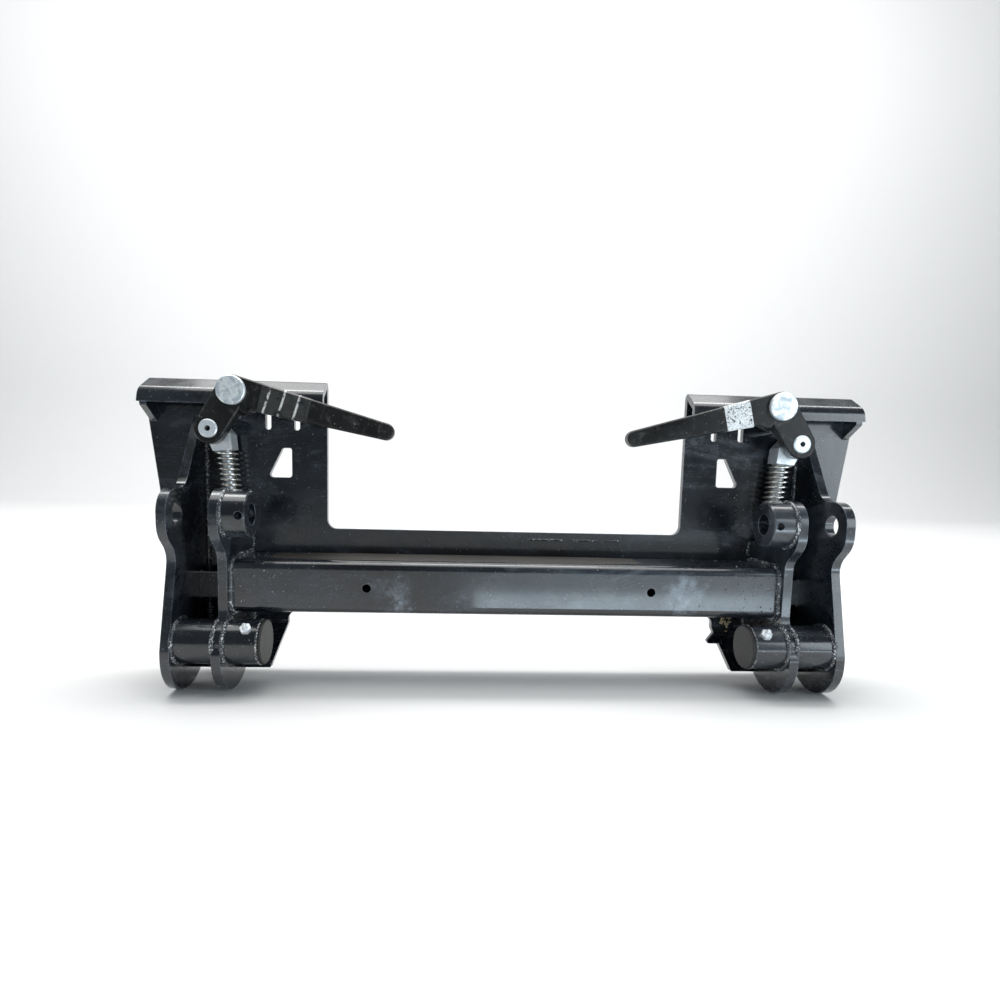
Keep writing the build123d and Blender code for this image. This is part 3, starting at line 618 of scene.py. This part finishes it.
# ---------------------------------------------------------------------------------------------
# Lug and sealant at the right foot, stitch weld on the plate, residue on the cross tube
# ---------------------------------------------------------------------------------------------
def add_lug(material):
    """Small pointed lug on the inner edge of the right foot, in the foot's leaning plane."""
    edge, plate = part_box("right_foot")[0].x + 0.006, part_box("cross_tube")[1].y
    top, low, thick, proud = -0.080, -0.098, 0.008, 0.0003
    outline = [(edge + 0.004, top), (edge - 0.001, top), (edge - 0.019, low + 0.004),
               (edge - 0.018, low), (edge + 0.006, low)]
    bm = bmesh.new()
    front, back = ([bm.verts.new((x, plate + (z - FOOT_BEND_Z) * FOOT_LEAN + depth, z))
                    for x, z in outline] for depth in (-proud, thick))
    bm.faces.new(front)
    bm.faces.new(back[::-1])
    for k in range(len(outline)):
        n = (k + 1) % len(outline)
        bm.faces.new((front[n], front[k], back[k], back[n]))
    bmesh.ops.recalc_face_normals(bm, faces=bm.faces)
    bmesh.ops.bevel(bm, geom=list(bm.edges), offset=0.0008, segments=2, affect="EDGES")
    new_piece("right_foot_lug", bm, material, "frame", smooth=False)


def sealant():
    """Aged pale-yellow sealant, matt and crumbly."""
    s = Shader("sealant")
    cloud = s.noise(160.0, 5, 0.7)
    colour = s.mix(s.ramp(cloud, 0.3, 0.65), rgb(0.30, 0.22, 0.10), rgb(0.70, 0.62, 0.42))
    s.feed(s.main.inputs["Base Color"], colour)
    s.feed(s.main.inputs["Roughness"], s.ramp(cloud, 0.3, 0.7, 0.6, 0.8))
    s.bump((cloud, 0.5, 0.001))
    return s.material


def add_sealant(material):
    """A few squeezed-out lumps in the corner above the lug."""
    rng = random.Random(11)
    middle = Vector((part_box("right_foot")[0].x + 0.019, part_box("cross_tube")[1].y - 0.003, -0.064))
    bm = bmesh.new()
    for _ in range(18):
        spot = middle + Vector((rng.gauss(0, 0.004), -0.004 * rng.random(), rng.gauss(0, 0.007)))
        made = bmesh.ops.create_icosphere(bm, subdivisions=2, radius=0.0011 + 0.0016 * rng.random())
        turn = Matrix.Rotation(rng.random() * math.pi, 4, "Y") @ Matrix.Diagonal((1, 0.8, 1.5, 1))
        bmesh.ops.transform(bm, matrix=Matrix.Translation(spot) @ turn, verts=made["verts"])
        for vert in made["verts"]:
            vert.co += Vector((rng.random(), rng.random(), rng.random())) * 0.0006
    new_piece("right_foot_sealant", bm, material, "frame")


def add_stitch_weld(material):
    """Three short flat beads along the plate, above the cross tube."""
    rng = random.Random(17)
    plate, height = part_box("cross_tube")[1].y, 0.0645
    bm = bmesh.new()
    for x0, x1 in ((0.035, 0.092), (0.104, 0.148), (0.158, 0.186)):
        line_seam(bm, (x0, plate, height), (x1, plate, height), (0, -1, 0), STITCH_BEAD, rng)
    new_piece("plate_stitch_weld", bm, material, "frame")


def residue_paint():
    """Dried brownish wash-down residue, dark and matt."""
    s = Shader("dry_residue")
    cloud = s.noise(22.0, 6, 0.7, stretch=(0.3, 1, 1))
    colour = s.mix(s.ramp(cloud, 0.35, 0.65), rgb(0.013, 0.0118, 0.0095), rgb(0.032, 0.029, 0.023))
    s.feed(s.main.inputs["Base Color"], colour)
    s.feed(s.main.inputs["Roughness"], s.ramp(cloud, 0.3, 0.7, 0.50, 0.72))
    s.bump((cloud, 0.15, 0.0006))
    return s.material


def add_residue(material):
    """Thin skin of dried residue along the top of the cross tube, with a wandering outline."""
    rng = random.Random(29)
    low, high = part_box("cross_tube")
    start, length, columns = -0.355, 0.555, 120
    near, far = low.y + 0.019, high.y - 0.004
    skin, rim = high.z + 0.00025, high.z - 0.0004
    bm = bmesh.new()
    rows, wander = [], 0.0
    for k in range(columns + 1):
        x = start + length * k / columns
        wander += (rng.random() - 0.5) * 0.002 - wander * 0.1
        taper = 0.010 * max(0, 1 - 8 * min(k, columns - k) / columns)
        front, back = near + wander + taper, far - taper
        section = [(front, rim), (front + 0.001, skin), (back - 0.001, skin), (back, rim)]
        rows.append([bm.verts.new((x, y, z)) for y, z in section])
    for one, two in zip(rows, rows[1:]):
        for j in range(4):
            n = (j + 1) % 4
            bm.faces.new((one[j], one[n], two[n], two[j]))
    bm.faces.new(rows[0])
    bm.faces.new(rows[-1][::-1])
    bmesh.ops.recalc_face_normals(bm, faces=bm.faces)
    new_piece("tube_top_residue", bm, material, "frame", smooth=False)


# ---------------------------------------------------------------------------------------------
# Labels on the levers
# ---------------------------------------------------------------------------------------------
HANDLE_DROOP = math.radians(13.5)  # the handle's fall towards the middle at rest
HUB_R, TIP_R, HANDLE_REACH = 0.0225, 0.0125, 0.2275
HANDLE_TAPER = math.asin((HUB_R - TIP_R) / HANDLE_REACH)


def half_handle(u):
    """Half the handle's height at u along it from the pivot."""
    return (HUB_R - u * math.sin(HANDLE_TAPER)) / math.cos(HANDLE_TAPER)


def add_label(name, g, near, far, material, rng):
    """A thin wrap over the handle's front, top and underside, from near to far of the pivot."""
    low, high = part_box(name + "_lever_pivot_pin")
    pivot = Vector(((low.x + high.x) / 2, 0, (low.z + high.z) / 2))
    along = Vector((-g * math.cos(HANDLE_DROOP), 0, -math.sin(HANDLE_DROOP)))
    over = Vector((-g * math.sin(HANDLE_DROOP), 0, math.cos(HANDLE_DROOP)))
    front, bevel, lift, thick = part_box(name + "_lever")[0].y, 0.002, 0.00035, 0.0003
    back, columns = front + 0.015, 26
    bm = bmesh.new()
    skins = []
    for depth in (lift, lift - thick):
        rows = []
        for k in range(columns + 1):
            u = near + (far - near) * k / columns
            half = half_handle(u)
            jag = (rng.random() - 0.5) * 0.0012 if k in (0, columns) else 0
            upper = [(back, half + depth), (front + bevel, half + depth),
                     (front - depth, half - bevel + depth * 0.4), (front - depth, half * 0.5)]
            section = upper + [(front - depth, 0)] + [(y, -v) for y, v in reversed(upper)]
            rows.append([bm.verts.new(pivot + along * (u + jag) + over * v + Vector((0, y, 0)))
                         for y, v in section])
        skins.append(rows)
    for skin, flip in ((skins[0], False), (skins[1], True)):
        for one, two in zip(skin, skin[1:]):
            for j in range(len(one) - 1):
                quad = (one[j], one[j + 1], two[j + 1], two[j])
                bm.faces.new(quad[::-1] if flip else quad)
    outside, inside = skins
    last = len(outside[0]) - 1
    for k in range(columns):
        for j in (0, last):
            bm.faces.new((outside[k][j], outside[k + 1][j], inside[k + 1][j], inside[k][j]))
    for j in range(last):
        for k in (0, columns):
            bm.faces.new((outside[k][j], outside[k][j + 1], inside[k][j + 1], inside[k][j]))
    bmesh.ops.recalc_face_normals(bm, faces=bm.faces)
    new_piece(name + "_lever_label", bm, material, "lever_" + name, smooth=False)


# ---------------------------------------------------------------------------------------------
# The scene
# ---------------------------------------------------------------------------------------------
add_camera()
add_lights()
add_floor()
paint_nodes()
welded = weld_paint()
add_welds(welded)
add_spatter(welded)
add_lug(NODES["right_foot"].data.materials[0])
add_sealant(sealant())
add_stitch_weld(welded)
add_residue(residue_paint())
add_label("right", 1, 0.048, 0.088, silver_label(), random.Random(3))
add_label("left", -1, 0.041, 0.113, black_tape(), random.Random(5))
